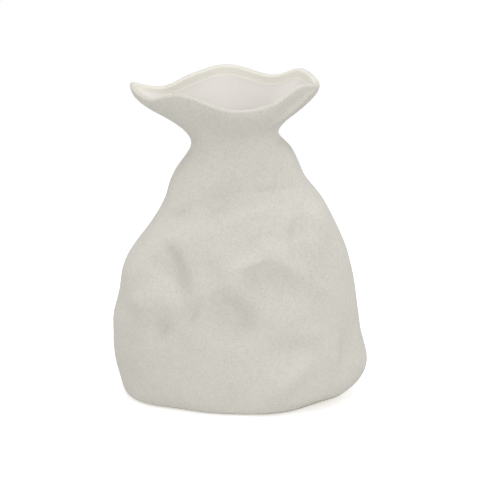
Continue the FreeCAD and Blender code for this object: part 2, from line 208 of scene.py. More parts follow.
# Real sizes of the patterns in clay, glaze and rubber, and how strong they are.
CLOUD_SIZE = 45 * MM
CLOUD_STRENGTH = 0.08
GRAIN_SIZE = 1.8 * MM
GRAIN_STRENGTH = 0.26
GRAIN_HEIGHT = 0.06 * MM
BARE_GRAIN_STRENGTH = 0.3
BARE_GRAIN_HEIGHT = 0.15 * MM
SPECK_PITCH = 1.7 * MM
# A speck is dark out to the first share of the pitch and gone at the second. Each draws a number from 0 to
# 1: up to the first share it stays away, and from the second on it is full.
SPECK_EDGE_SHARES = (0.15, 0.42)
SPECK_CHANCE_SHARES = (0.2, 0.7)
SPECK_STRENGTH = 0.32
PINHOLE_DEPTH = 0.15 * MM
PALM_MARK_SIZE = 12 * MM
PALM_MARK_HEIGHT = 0.2 * MM
GLAZE_WAVE_SIZE = 12 * MM
GLAZE_WAVE_HEIGHT = 0.1 * MM
# How much paler the lip and the inside of the clay are painted than the rest: partly the rim's paler glaze,
# partly painted light where they face the lamps.
LIP_PALENESS_AND_PAINTED_LIGHT = 0.28
CLAY_ROUGHNESS = 0.7
BARE_CLAY_ROUGHNESS = 0.9
GLAZE_ROUGHNESS = 0.38
RUBBER_ROUGHNESS = 0.8
CLAY_IOR = 1.5
GLAZE_IOR = 1.52
RUBBER_IOR = 1.52

# Stage, lengths in metres. The floor's glow is whole out to GLOW_NEAR from the axis and ends at GLOW_FAR.
FLOOR_SIZE = 1.5
GLOW_NEAR = 0.07
GLOW_FAR = 0.18
WORLD_TINT = "FFFDFA"
WHITE = (1, 1, 1, 1)
LAMP_SIZE = 1.2
# The lamps' powers are among the finishes, under the same names.
LAMP_PLACES = {
    "top_light": (0.0, -0.1, 1.7),
    "low_light": (0.0, -1.9, 0.45),
    "right_light": (0.9, -1.3, 1.4),
    "left_side_light": (-1.3, 0.4, 0.6),
    "right_side_light": (1.3, 0.4, 0.6),
}
CAMERA_TARGET = (0, 0, 0.135)
CAMERA_ELEVATION = math.radians(17)
CAMERA_DISTANCE = 4 / 3
CAMERA_LENS = 120
CAMERA_SENSOR = 36


def length(name, description, millimetres, lowest=0.1):
    """A size in millimetres as a property in metres."""
    return FloatProperty(
        name=name,
        description=description,
        default=millimetres * MM,
        min=lowest * MM,
        unit="LENGTH",
        precision=4,
    )


def colour(name, description, code):
    """A colour written as an sRGB hex value, as a property in linear light."""
    return FloatVectorProperty(
        name=name,
        description=description,
        subtype="COLOR",
        size=4,
        min=0,
        max=1,
        default=linear(code),
    )


def linear(code):
    """The linear RGBA colour of an sRGB hex value such as C8C6BE."""
    channels = (int(code[place : place + 2], 16) / 255 for place in (0, 2, 4))
    return tuple(c / 12.92 if c <= 0.04045 else ((c + 0.055) / 1.055) ** 2.4 for c in channels) + (1.0,)


def reach(part, side, millimetres):
    """How far a part of the vase reaches to one side of its axis."""
    name = f"{part} {side}".capitalize()
    return length(name, f"Reach of the {part} to the {side} of the axis", millimetres)


class VaseSizes(bpy.types.PropertyGroup):
    """Sizes of the vase."""

    foot_left: reach("foot", "left", 96.5)
    foot_right: reach("foot", "right", 89.0)
    foot_front: reach("foot", "front", 55.5)
    foot_back: reach("foot", "back", 49.0)
    belly_left: reach("belly", "left", 107.5)
    belly_right: reach("belly", "right", 101.5)
    belly_front: reach("belly", "front", 61.0)
    belly_back: reach("belly", "back", 60.5)
    neck_left: reach("neck", "left", 41.0)
    neck_right: reach("neck", "right", 31.5)
    neck_front: reach("neck", "front", 31.0)
    neck_back: reach("neck", "back", 29.0)
    mouth_left: reach("mouth", "left", 90.0)
    mouth_right: reach("mouth", "right", 65.0)
    mouth_front: reach("mouth", "front", 45.0)
    mouth_back: reach("mouth", "back", 50.0)
    belly_height: length("Belly height", "Height of the widest ring above the foot", 48.0)
    joint_height: length("Joint height", "Height of the collar's joint above the foot", 192.0)
    neck_height: length("Neck height", "Height of the narrowest ring above the foot", 222.0)
    mouth_height: length("Mouth height", "Height of the rim's middle above the neck", 40.0)
    mouth_wave: length("Mouth wave", "Half of the rim's rise and fall", 13.0)
    neck_tilt: length("Neck tilt", "How much higher the neck's ring lies on the right", 5.0)
    turn_height: length("Turn height", "Height up to which the body is turned", 120.0)
    foot_turn: FloatProperty(
        name="Foot turn",
        description="How far the foot is turned against the belly",
        default=math.radians(4.0),
        subtype="ANGLE",
    )
    dent_depth: length("Dent depth", "Depth that the shares of the dents are taken of", 6.0)
    side_blend: length("Side blend", "Depth over which front dents give way to back dents", 14.0)
    wall_thickness: length("Wall", "Thickness of the clay wall", 5.0)
    base_thickness: length("Base", "Thickness of the base slab", 8.0)
    glaze_thickness: length("Glaze", "Thickness of the lining", 0.5)
    glaze_margin: length("Glaze margin", "Bare stretch between the lining and the lip", 6.0)
    foot_radius: length("Foot radius", "Rounding of the foot's edge", 3.0)
    foot_ring_width: length("Foot ring", "Width of the ring that surrounds the recess", 12.0)
    recess_depth: length("Recess", "Depth of the recess under the base", 1.5)
    pad_thickness: length("Pad thickness", "Thickness of a foot pad", 2.2)
    hand_marks: length("Hand marks", "Height from the lowest to the highest hand mark", 1.6)
    hand_mark_size: length("Hand mark size", "Distance from one hand mark to the next", 34.0)
    seed: IntProperty(name="Seed", description="Seed of the hand marks", default=7, min=0)


def power(name, default):
    """A property for a light's power."""
    description = "Power of the " + name.lower()
    return FloatProperty(name=name, description=description, default=default, unit="POWER")


def factor(name, description, default):
    """A property for a strength from 0 to 1."""
    slider = {"min": 0, "max": 1, "subtype": "FACTOR"}
    return FloatProperty(name=name, description=description, default=default, **slider)


class VaseFinish(bpy.types.PropertyGroup):
    """Colours of the vase and strengths of the stage's lights."""

    clay: colour("Stoneware", "Pale grey-cream matt stoneware", "CBC9C1")
    speck: colour("Specks", "Iron specks and pinholes in the clay", "A9A79C")
    bare_clay: colour("Bare clay", "Unglazed clay under the foot", "BEB6A4")
    glaze: colour("Lining", "Satin cream glaze of the inside", "DCD8D3")
    rubber: colour("Rubber", "Grey foot pads", "8C8C8A")
    floor: colour("Floor", "Pale matt floor of the stage", "E8E8E8")
    bounce: colour("Floor bounce", "How much of the light the floor throws back at the vase", "DCDCDC")
    glow: factor("Floor glow", "Light that comes up by the foot", 0.16)
    floor_white: factor("Floor white", "Whiteness added to the seen floor", 0.5)
    top_light: power("Top light", 12.5)
    low_light: power("Low front light", 14.0)
    right_light: power("Right light", 4.0)
    left_side_light: power("Left side light", 6.0)
    right_side_light: power("Right side light", 6.0)
    fill: factor("Fill", "Strength of the light from all round", 0.40)


def read_sizes():
    """The sizes as plain numbers in metres, by name."""
    sizes = bpy.context.scene.vase_sizes
    return {name: getattr(sizes, name) for name in VaseSizes.__annotations__}


def ease(share):
    """Smooth step from 0 to 1."""
    share = np.clip(share, 0, 1)
    return share * share * (3 - 2 * share)


def along(table, share, column):
    """A column of a table of shares, read smoothly at shares of its first column."""
    rows = np.array(table)
    marks, values = rows[:, 0], rows[:, column]
    share = np.clip(share, marks[0], marks[-1])
    slopes = np.zeros(len(rows))
    before, after = np.maximum(np.arange(len(rows) - 1) - 1, 0), np.arange(1, len(rows))
    slopes[:-1] = (values[after] - values[before]) / (marks[after] - marks[before])
    low = np.clip(np.searchsorted(marks, share, side="right") - 1, 0, len(rows) - 2)
    width = marks[low + 1] - marks[low]
    t = (share - marks[low]) / width
    start = values[low] * (1 + 2 * t) * (1 - t) ** 2
    end = values[low + 1] * (3 - 2 * t) * t**2
    bend = slopes[low] * t * (1 - t) ** 2 - slopes[low + 1] * (1 - t) * t**2
    return start + end + bend * width


def around(table, turn, column):
    """A column of a closed table of evenly spaced rows, read smoothly at shares of a full turn."""
    values = np.array(table)[:, column]
    place = (turn % 1.0) * len(values)
    index = place.astype(int)
    t = place - index
    a, b, c, d = (values[(index + offset) % len(values)] for offset in (-1, 0, 1, 2))
    return b + t / 2 * (c - a + t * (2 * a - 5 * b + 4 * c - d + t * (3 * (b - c) + d - a)))


def height_at(size, level):
    """Mean height of the ring at a level: level 0 is the foot, 1 the neck and 2 the rim."""
    above_neck = size["mouth_height"] * np.maximum(level - 1, 0)
    return size["neck_height"] * np.minimum(level, 1) + above_neck


def level_of(size, height):
    """The level whose ring lies at a mean height."""
    above_neck = (height - size["neck_height"]) / size["mouth_height"]
    return height / size["neck_height"] if above_neck < 0 else 1 + above_neck


def joint_blend(size):
    """The height above the joint over which rings go from flat to fully tilted."""
    return JOINT_BLEND_SHARE * (height_at(size, 2) - size["joint_height"])


def above_joint(size, level):
    """0 up to the collar's joint, where rings lie flat, rising to 1 over the blend above it."""
    return ease((height_at(size, level) - size["joint_height"]) / joint_blend(size))


def body_ring(size, height, angle):
    """Across and back of the smooth body at heights between the foot and the neck."""
    is_low = height < size["belly_height"]
    low_share = height / size["belly_height"]
    high_share = (height - size["belly_height"]) / (size["neck_height"] - size["belly_height"])
    reaches = []
    for column, side in enumerate(SIDES, start=1):
        foot, belly, neck = (size[part + side] for part in ("foot_", "belly_", "neck_"))
        low = foot + (belly - foot) * along(LOWER_SHARES, low_share, column)
        high = belly + (neck - belly) * along(UPPER_SHARES, high_share, column)
        reaches.append(np.where(is_low, low, high))
    left, right, front, back = reaches
    cosine = (np.cos(angle) - SQUARENESS_SHARE * np.cos(3 * angle)) / (1 - SQUARENESS_SHARE)
    sine = (np.sin(angle) + SQUARENESS_SHARE * np.sin(3 * angle)) / (1 - SQUARENESS_SHARE)
    across = (right - left) / 2 + (right + left) / 2 * cosine
    depth = (back - front) / 2 + (back + front) / 2 * sine
    turn = size["foot_turn"] * (1 - ease(height / size["turn_height"]))
    return across * np.cos(turn) + depth * np.sin(turn), depth * np.cos(turn) - across * np.sin(turn)


def smooth_skin(size, angle, level):
    """Points of the skin before it is dented, for arrays of angles and levels."""
    across, depth = body_ring(size, height_at(size, np.minimum(level, 1)), angle)
    rise = size["neck_tilt"] * np.cos(angle) * np.minimum(2 - level, 1)
    spread = np.where(level > 1, along(FLARE_SHARES, 2 - level, 1), 0)
    turn = angle / (2 * math.pi)
    rim_across, rim_depth, up = (around(RIM_SHARES, turn, column) for column in range(3))
    rim_across = rim_across * np.where(rim_across > 0, size["mouth_right"], size["mouth_left"])
    rim_depth = rim_depth * np.where(rim_depth > 0, size["mouth_back"], size["mouth_front"])
    across = across + (rim_across - across) * spread
    depth = depth + (rim_depth - depth) * spread
    rise = rise + size["mouth_wave"] * up * np.maximum(level - 1, 0)
    return np.stack([across, depth, height_at(size, level) + rise * above_joint(size, level)], axis=-1)


def unit(vectors):
    """The vectors at length 1."""
    return vectors / np.linalg.norm(vectors, axis=-1, keepdims=True)


def skin_frame(size, angle, level):
    """Upward tangent of the smooth skin, and the way out that keeps rings flat below the joint."""
    step = SLOPE_STEP_SHARE
    sideways = smooth_skin(size, angle + step, level) - smooth_skin(size, angle - step, level)
    high = smooth_skin(size, angle, np.minimum(level + step, 2))
    low = smooth_skin(size, angle, np.maximum(level - step, 0))
    normal = unit(np.cross(sideways, high - low))
    outwards = normal.copy()
    outwards[..., 2] *= above_joint(size, level)
    outwards /= (outwards * normal).sum(axis=-1, keepdims=True)
    return unit(high - low), outwards


def level_at(size, station, angle, floor_rise=0.0):
    """Levels at a station: 0 the floor, 1 the joint, 2 its blend's top, 3 the glaze's edge, 4 the lip."""
    top = np.full_like(angle, 2.0)
    last_run = smooth_skin(size, angle, top) - smooth_skin(size, angle, top - SLOPE_STEP_SHARE)
    run_per_level = np.linalg.norm(last_run, axis=-1) / SLOPE_STEP_SHARE
    lip = 2 - size["wall_thickness"] / 2 / run_per_level
    glaze_edge = lip - size["glaze_margin"] / run_per_level
    heights = (
        size["base_thickness"] + floor_rise,
        size["joint_height"],
        size["joint_height"] + joint_blend(size),
    )
    marks = [np.full_like(angle, level_of(size, height)) for height in heights] + [glaze_edge, lip]
    index = min(int(station), len(marks) - 2)
    return marks[index] + (marks[index + 1] - marks[index]) * (station - index)


def stations(counts):
    """Stations of evenly spaced rings on each stretch from the floor up, the last mark included."""
    rings = [mark + index / count for mark, count in enumerate(counts) for index in range(count)]
    return rings + [float(len(counts))]


class Rings:
    """Rings of points, each with its place on the smooth skin, its way out and how far in it lies."""

    def __init__(self, size):
        self.size = size
        self.angle = 2 * math.pi * np.arange(RING_POINTS) / RING_POINTS
        self.places, self.outwards, self.insets, self.shifts, self.lip_pale_and_painted_light_shares = [], [], [], [], []

    def add(self, level, inset, lift=0.0, lip_share=0.0):
        """Adds a ring at a level for each angle: lift moves it up the skin, and the last share is how much
        paler it is painted, partly for the rim's paler glaze and partly as painted light.
        """
        level = np.broadcast_to(level, self.angle.shape).astype(float)
        upwards, outwards = skin_frame(self.size, self.angle, level)
        self.places.append(smooth_skin(self.size, self.angle, level))
        self.outwards.append(outwards)
        self.insets.append(np.broadcast_to(inset, self.angle.shape).astype(float))
        self.shifts.append(upwards * lift)
        self.lip_pale_and_painted_light_shares.append(np.full(self.angle.shape, lip_share))
        return len(self.places) - 1


def clay_rings(size):
    """All rings of the clay's skin and of the lining's inside, and the numbers of those that matter."""
    rings = Rings(size)
    mark = {}
    radius, wall = size["foot_radius"], size["wall_thickness"]
    mark["recess"] = rings.add(0.0, size["foot_ring_width"])
    for index in range(FOOT_RINGS):
        swing = math.pi / 2 * index / FOOT_RINGS
        level = level_of(size, radius * (1 - math.cos(swing)))
        rings.add(level, radius * (1 - math.sin(swing)))
    for index in range(BASE_RINGS):
        height = radius + (size["base_thickness"] - radius) * index / BASE_RINGS
        rings.add(level_of(size, height), 0.0)
    wall_stations = stations(WALL_RINGS)
    joint_ring = WALL_RINGS[0]
    glaze_ring = sum(WALL_RINGS[:3])
    first = len(rings.places)
    for station in wall_stations:
        rings.add(level_at(size, station, rings.angle), 0.0)
    lip_level = level_at(size, 4.0, rings.angle)
    for index in range(1, LIP_RINGS):
        swing = math.pi * index / LIP_RINGS
        # The lip's upturned inner half is painted paler: partly the rim's paler glaze, partly painted
        # light.
        inner_pale_and_painted_light_share = float(ease((index / LIP_RINGS - LIP_PALE_AND_PAINTED_LIGHT_START_SHARE) / LIP_PALE_AND_PAINTED_LIGHT_RUN_SHARE))
        rings.add(lip_level, wall / 2 * (1 - math.cos(swing)), wall / 2 * math.sin(swing), inner_pale_and_painted_light_share)
    last = len(rings.places) + len(wall_stations) - 1
    # The inside wall takes the full paler tone, painted light as well as the rim's paler glaze.
    for station in reversed(wall_stations):
        rings.add(level_at(size, station, rings.angle), wall, lip_share=1.0)
    mark.update(
        floor_outside=first,
        joint_outside=first + joint_ring,
        joint_inside=last - joint_ring,
        glaze_inside=last - glaze_ring,
        floor_inside=last,
    )
    glaze = size["glaze_thickness"]
    edge_level = level_at(size, 3.0, rings.angle)
    mark["lining_top"] = len(rings.places)
    for index in range(LINING_EDGE_RINGS):
        swing = math.pi / 2 * (index + 1) / LINING_EDGE_RINGS
        drop = glaze * (1 - math.cos(swing)) / size["mouth_height"]
        rings.add(edge_level - drop, wall + glaze * math.sin(swing))
    for station in list(reversed(stations(LINING_RINGS)))[1:]:
        rings.add(level_at(size, station, rings.angle, glaze), wall + glaze)
    mark["lining_floor"] = len(rings.places) - 1
    return rings, mark


def add(tree, kind, *values, named=None, **settings):
    """Adds a node, sets or links its inputs in their order or by name, and returns its outputs."""
    node = tree.nodes.new(kind)
    for name, value in settings.items():
        setattr(node, name, value)
    for key, value in [*enumerate(values), *(named or {}).items()]:
        if isinstance(value, bpy.types.NodeSocket):
            tree.links.new(value, node.inputs[key])
        else:
            node.inputs[key].default_value = value
    return node.outputs


def dent_group():
    """Node group for one dent: how deep it is at a place in the front view."""
    tree = bpy.data.node_groups.new("Press dent", "GeometryNodeTree")
    for name in ("Across", "Up", "Spread", "Neck height", *DENT_COLUMNS):
        tree.interface.new_socket(name, in_out="INPUT", socket_type="NodeSocketFloat")
    tree.interface.new_socket("Press", in_out="OUTPUT", socket_type="NodeSocketFloat")
    given = add(tree, "NodeGroupInput")
    middle = add(tree, MATH, given["Across share"], given["Spread"], operation="MULTIPLY")[0]
    across = add(tree, MATH, given["Across"], middle, operation="SUBTRACT")[0]
    middle = add(tree, MATH, given["Up share"], given["Neck height"], operation="MULTIPLY")[0]
    up = add(tree, MATH, given["Up"], middle, operation="SUBTRACT")[0]
    spot = add(tree, "ShaderNodeCombineXYZ", across, up, 0.0)[0]
    turning = {"rotation_type": "Z_AXIS", "invert": True}
    turned = add(tree, "ShaderNodeVectorRotate", spot, named={"Angle": given["Tilt"]}, **turning)[0]
    halves = add(tree, "ShaderNodeCombineXYZ", given["Length share"], given["Width share"], 1.0)[0]
    halves = add(tree, VECTOR, halves, named={"Scale": given["Spread"]}, operation="SCALE")[0]
    scaled = add(tree, VECTOR, turned, halves, operation="DIVIDE")[0]
    square = add(tree, VECTOR, scaled, scaled, operation="DOT_PRODUCT")["Value"]
    fall = add(tree, MATH, square, -1.0, operation="MULTIPLY")[0]
    share = add(tree, MATH, fall, operation="EXPONENT")[0]
    press = add(tree, MATH, share, given["Depth share"], operation="MULTIPLY")[0]
    add(tree, "NodeGroupOutput", press)
    return tree


def pressing_tree(material):
    """Node tree that presses dents, folds and hand marks into rings and sets each ring in from the skin."""
    tree = bpy.data.node_groups.new("Pressed clay", "GeometryNodeTree")
    tree.interface.new_socket("Geometry", in_out="INPUT", socket_type="NodeSocketGeometry")
    sizes = ("Dent spread", "Neck height", "Dent depth", "Side blend", "Lift")
    for name in (*sizes, "Hand marks", "Hand mark size"):
        tree.interface.new_socket(name, in_out="INPUT", socket_type="NodeSocketFloat")
    tree.interface.new_socket("Seed", in_out="INPUT", socket_type="NodeSocketInt")
    tree.interface.new_socket("Geometry", in_out="OUTPUT", socket_type="NodeSocketGeometry")
    given = add(tree, "NodeGroupInput")
    place = add(tree, "GeometryNodeInputPosition")[0]
    spot = add(tree, "ShaderNodeSeparateXYZ", place)
    group = dent_group()
    common = {
        "Across": spot[0],
        "Up": spot[2],
        "Spread": given["Dent spread"],
        "Neck height": given["Neck height"],
    }
    totals = []
    for rows in (FRONT_DENT_SHARES + FINE_FOLD_SHARES, BACK_DENT_SHARES, EDGE_DENT_SHARES):
        total = 0.0
        for row in rows:
            own = dict(zip(DENT_COLUMNS, row))
            own["Tilt"] = math.radians(own["Tilt"])
            press = add(tree, "GeometryNodeGroup", named={**common, **own}, node_tree=group)[0]
            total = add(tree, MATH, total, press, operation="ADD")[0]
        totals.append(total)
    front, back, edge = totals
    side = add(tree, MATH, spot[1], given["Side blend"], operation="DIVIDE")[0]
    side = add(tree, MATH, side, operation="TANH")[0]
    share = add(tree, MATH, side, 0.5, 0.5, operation="MULTIPLY_ADD")[0]
    dents = add(tree, MIX, named={0: share, 2: front, 3: back})[0]
    dents = add(tree, MATH, dents, edge, operation="ADD")[0]
    inset = add(tree, ATTRIBUTE, named={"Name": "inset"}, data_type="FLOAT")[0]
    push = add(tree, MATH, dents, given["Dent depth"], inset, operation="MULTIPLY_ADD")[0]
    fineness = add(tree, MATH, 1.0, given["Hand mark size"], operation="DIVIDE")[0]
    pattern = {"Vector": place, "W": given["Seed"], "Scale": fineness, "Detail": 1.0}
    noise = add(tree, NOISE, named=pattern, noise_dimensions="4D")[0]
    marks = add(tree, MATH, noise, 0.5, operation="SUBTRACT")[0]
    push = add(tree, MATH, marks, given["Hand marks"], push, operation="MULTIPLY_ADD")[0]
    inwards = add(tree, MATH, push, -1.0, operation="MULTIPLY")[0]
    outwards = add(tree, ATTRIBUTE, named={"Name": "outwards"}, data_type="FLOAT_VECTOR")[0]
    shift = add(tree, ATTRIBUTE, named={"Name": "shift"}, data_type="FLOAT_VECTOR")[0]
    offset = add(tree, VECTOR, outwards, named={"Scale": inwards}, operation="SCALE")[0]
    offset = add(tree, VECTOR, offset, shift, operation="ADD")[0]
    lift = add(tree, "ShaderNodeCombineXYZ", 0.0, 0.0, given["Lift"])[0]
    offset = add(tree, VECTOR, offset, lift, operation="ADD")[0]
    moved = add(tree, "GeometryNodeSetPosition", given["Geometry"], named={"Offset": offset})[0]
    real = add(tree, "GeometryNodeRealizeInstances", moved)[0]
    coated = add(tree, "GeometryNodeSetMaterial", real, named={"Material": material})[0]
    add(tree, "NodeGroupOutput", coated)
    return tree


def set_inputs(modifier, values):
    """Gives a node modifier its inputs by their names."""
    for item in modifier.node_group.interface.items_tree:
        if item.in_out == "INPUT" and item.name in values:
            modifier[item.identifier] = values[item.name]


@functools.lru_cache(maxsize=1)
def pressed_skin(sizes):
    """Points, normals and shares of painted paleness (the rim's paler glaze and painted light) of all rings
    once pressed, and the numbers of those that matter.
    """
    size = dict(sizes)
    rings, mark = clay_rings(size)
    row_count = len(rings.places)
    numbers = np.arange(row_count * RING_POINTS).reshape(row_count, RING_POINTS)
    # Each ring is joined to the next, but for the clay's last ring and the lining's first.
    low = [row for row in range(row_count - 1) if row != mark["floor_inside"]]
    low_rows, high_rows = numbers[low], numbers[np.array(low) + 1]
    quads = [low_rows, np.roll(low_rows, -1, axis=1), np.roll(high_rows, -1, axis=1), high_rows]
    mesh = bpy.data.meshes.new("clay_rings")
    mesh.from_pydata(
        np.concatenate(rings.places).tolist(), [], np.stack(quads, axis=-1).reshape(-1, 4).tolist()
    )
    for name, kind, field, values in (
        ("outwards", "FLOAT_VECTOR", "vector", rings.outwards),
        ("shift", "FLOAT_VECTOR", "vector", rings.shifts),
        ("inset", "FLOAT", "value", rings.insets),
    ):
        attribute = mesh.attributes.new(name, kind, "POINT")
        attribute.data.foreach_set(field, np.concatenate(values).astype(np.float32).ravel())
    raw = bpy.data.objects.new("clay_rings", mesh)
    bpy.context.scene.collection.objects.link(raw)
    modifier = raw.modifiers.new("Pressing", "NODES")
    modifier.node_group = pressing_tree(finish_of("Speckled stoneware"))
    inputs = {
        "Dent spread": (size["belly_left"] + size["belly_right"]) / 2,
        "Neck height": size["neck_height"],
        "Dent depth": size["dent_depth"],
        "Side blend": size["side_blend"],
        "Hand marks": size["hand_marks"],
        "Hand mark size": size["hand_mark_size"],
        "Lift": size["pad_thickness"] - size["recess_depth"],
        "Seed": size["seed"],
    }
    set_inputs(modifier, inputs)
    pressed = bpy.data.meshes.new_from_object(raw.evaluated_get(bpy.context.evaluated_depsgraph_get()))
    if len(pressed.vertices) != numbers.size:
        raise RuntimeError("the node tree lost points of the clay")
    points, normals = np.empty(numbers.size * 3), np.empty(numbers.size * 3)
    pressed.vertices.foreach_get("co", points)
    pressed.vertex_normals.foreach_get("vector", normals)
    bpy.data.objects.remove(raw)
    bpy.data.meshes.remove(mesh)
    bpy.data.meshes.remove(pressed)
    shape = (row_count, RING_POINTS, 3)
    return points.reshape(shape), normals.reshape(shape), np.array(rings.lip_pale_and_painted_light_shares), mark


def current_skin():
    """The pressed skin for the sizes as they are set."""
    return pressed_skin(tuple(read_sizes().items()))


class Shell:
    """A closed piece put together row by row, with normals of its own so that no seam shows."""

    def __init__(self):
        self.points, self.normals, self.lips = [], [], []
        self.quads, self.flats, self.triangles = [], [], []
        self.count = 0

    def row(self, points, normals, lips=0.0):
        """Adds a row of points and returns their numbers."""
        self.points.append(points)
        self.normals.append(np.broadcast_to(normals, points.shape))
        self.lips.append(np.broadcast_to(lips, len(points)))
        self.count += len(points)
        return np.arange(self.count - len(points), self.count)

    def strip(self, low, high, is_ring=True, is_flat=False):
        """Joins two rows of point numbers with quads that face outwards."""
        if is_ring:
            low, high = np.append(low, low[0]), np.append(high, high[0])
        self.quads.append(np.stack([low[:-1], low[1:], high[1:], high[:-1]], axis=1))
        self.flats.append(np.full(len(low) - 1, is_flat))

    def join(self, rows, is_ring=True):
        """Joins each row of point numbers to the next."""
        for low, high in zip(rows, rows[1:]):
            self.strip(low, high, is_ring)

    def cap(self, ring, ring_points, is_top):
        """Closes a flat ring with smaller rings round a pole."""
        pole = ring_points.mean(axis=0)
        order = 1 if is_top else -1
        last = ring[::order]
        for index in range(CAP_RINGS - 1, 0, -1):
            smaller = pole + (ring_points - pole) * index / CAP_RINGS
            inner = self.row(smaller, (0, 0, order))[::order]
            self.strip(last, inner, is_flat=True)
            last = inner
        centre = self.row(pole[None], (0, 0, order))
        spokes = np.full(len(last), centre[0])
        self.triangles.append(np.stack([last, np.roll(last, -1), spokes], axis=1))

    def finish(self, name, node, slot, materials):
        """Makes the object, which stands for a CAD node; a second material goes on what faces down."""
        points, normals = np.concatenate(self.points), np.concatenate(self.normals)
        quads, is_flat = np.concatenate(self.quads), np.concatenate(self.flats)
        # Flat faces, such as those at the joints, keep their own normals; all others take the skin's.
        corners = normals[quads]
        corner = points[quads]
        faces = unit(np.cross(corner[:, 2] - corner[:, 0], corner[:, 3] - corner[:, 1]))
        corners[is_flat] = faces[is_flat, None]
        corners = corners.reshape(-1, 3)
        polygons = quads.tolist()
        downs = (faces[:, 2] < DOWNWARD_SHARE).tolist()
        if self.triangles:
            triangles = np.concatenate(self.triangles)
            corner = points[triangles]
            flat = unit(np.cross(corner[:, 1] - corner[:, 0], corner[:, 2] - corner[:, 0]))
            corners = np.concatenate([corners, np.repeat(flat, 3, axis=0)])
            polygons += triangles.tolist()
            downs += (flat[:, 2] < DOWNWARD_SHARE).tolist()
        mesh = bpy.data.meshes.new(name)
        mesh.from_pydata(points.tolist(), [], polygons)
        mesh.polygons.foreach_set("use_smooth", np.ones(len(polygons), bool))
        for material in materials:
            mesh.materials.append(material)
        if len(materials) > 1:
            mesh.polygons.foreach_set("material_index", np.array(downs, np.int32))
        mesh.normals_split_custom_set(corners.tolist())
        # How much paler each point is painted, partly as painted light, for the clay's material to read.
        lips = mesh.attributes.new("lip_share", "FLOAT", "POINT")
        lips.data.foreach_set("value", np.concatenate(self.lips).astype(np.float32))
        piece = bpy.data.objects.new(name, mesh)
        bpy.context.scene.collection.objects.link(piece)
        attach(piece, "root")
        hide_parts(node)


def wall_half(name, node, columns):
    """One pressed half of the body: outer and inner skin, closed along the seams, floor and joint."""
    points, normals, _, mark = current_skin()
    shell = Shell()
    columns = columns % RING_POINTS
    outer = range(mark["floor_outside"], mark["joint_outside"] + 1)
    inner = range(mark["joint_inside"], mark["floor_inside"] + 1)
    outside = [shell.row(points[row, columns], normals[row, columns]) for row in outer]
    inside = [shell.row(points[row, columns], normals[row, columns]) for row in inner]
    shell.join(outside, is_ring=False)
    shell.join(inside, is_ring=False)
    shell.strip(outside[-1], inside[0], is_ring=False, is_flat=True)
    shell.strip(inside[-1], outside[0], is_ring=False, is_flat=True)
    # The two seams, where this half meets the other.
    for column, order in ((0, 1), (-1, -1)):
        out_edge = np.array([row[column] for row in outside])[::order]
        in_edge = np.array([row[column] for row in inside[::-1]])[::order]
        shell.strip(out_edge, in_edge, is_ring=False, is_flat=True)
    shell.finish(name, node, "stoneware", [finish_of("Speckled stoneware")])


class VASE_OT_walls(bpy.types.Operator):
    """Make the front and back halves of the pressed body"""

    bl_idname = "vase.walls"
    bl_label = "Walls"

    def execute(self, context):
        half = RING_POINTS // 2
        wall_half("back_wall_clay", "back_wall", np.arange(half + 1))
        wall_half("front_wall_clay", "front_wall", np.arange(half, RING_POINTS + 1))
        return {"FINISHED"}


class VASE_OT_base(bpy.types.Operator):
    """Make the base slab with its softened foot and recess"""

    bl_idname = "vase.base"
    bl_label = "Base"

    def execute(self, context):
        recess_depth = context.scene.vase_sizes.recess_depth
        points, normals, _, mark = current_skin()
        shell = Shell()
        shown = range(mark["recess"], mark["floor_outside"] + 1)
        rows = [shell.row(points[row], normals[row]) for row in shown]
        shell.join(rows)
        shell.cap(rows[-1], points[mark["floor_outside"]], is_top=True)
        ceiling_points = points[mark["recess"]] + (0, 0, recess_depth)
        ceiling = shell.row(ceiling_points, (0, 0, -1))
        shell.strip(ceiling, rows[0], is_flat=True)
        shell.cap(ceiling, ceiling_points, is_top=False)
        materials = [finish_of("Speckled stoneware"), finish_of("Bare foot clay")]
        shell.finish("base_slab_clay", "base_slab", "stoneware", materials)
        return {"FINISHED"}


class VASE_OT_collar(bpy.types.Operator):
    """Make the neck, the flare and the rounded lip"""

    bl_idname = "vase.collar"
    bl_label = "Collar"

    def execute(self, context):
        points, normals, lips, mark = current_skin()
        shell = Shell()
        shown = range(mark["joint_outside"], mark["joint_inside"] + 1)
        rows = [shell.row(points[row], normals[row], lips[row]) for row in shown]
        shell.join(rows)
        shell.strip(rows[-1], rows[0], is_flat=True)
        shell.finish("flared_collar_clay", "flared_collar", "stoneware", [finish_of("Speckled stoneware")])
        return {"FINISHED"}


class VASE_OT_lining(bpy.types.Operator):
    """Make the coat of glaze that lines the inside"""

    bl_idname = "vase.lining"
    bl_label = "Lining"

    def execute(self, context):
        points, normals, _, mark = current_skin()
        shell = Shell()
        hidden = list(range(mark["floor_inside"], mark["glaze_inside"], -LINING_HIDDEN_STEP))
        hidden.append(mark["glaze_inside"])
        rows = [shell.row(points[row], -normals[row]) for row in hidden]
        shown = range(mark["lining_top"], mark["lining_floor"] + 1)
        rows += [shell.row(points[row], normals[row]) for row in shown]
        shell.join(rows)
        shell.cap(rows[-1], points[mark["lining_floor"]], is_top=True)
        shell.cap(rows[0], points[mark["floor_inside"]], is_top=False)
        shell.finish("lining_glaze_coat", "glaze_lining", "lining_glaze", [finish_of("Satin cream glaze")])
        return {"FINISHED"}


class VASE_OT_pads(bpy.types.Operator):
    """Give the four foot pads their rubber; their shape is already right"""

    bl_idname = "vase.pads"
    bl_label = "Foot pads"

    def execute(self, context):
        for node in PAD_NODES:
            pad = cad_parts[node]
            pad.data.materials.clear()
            pad.data.materials.append(finish_of("Grey rubber"))
        return {"FINISHED"}


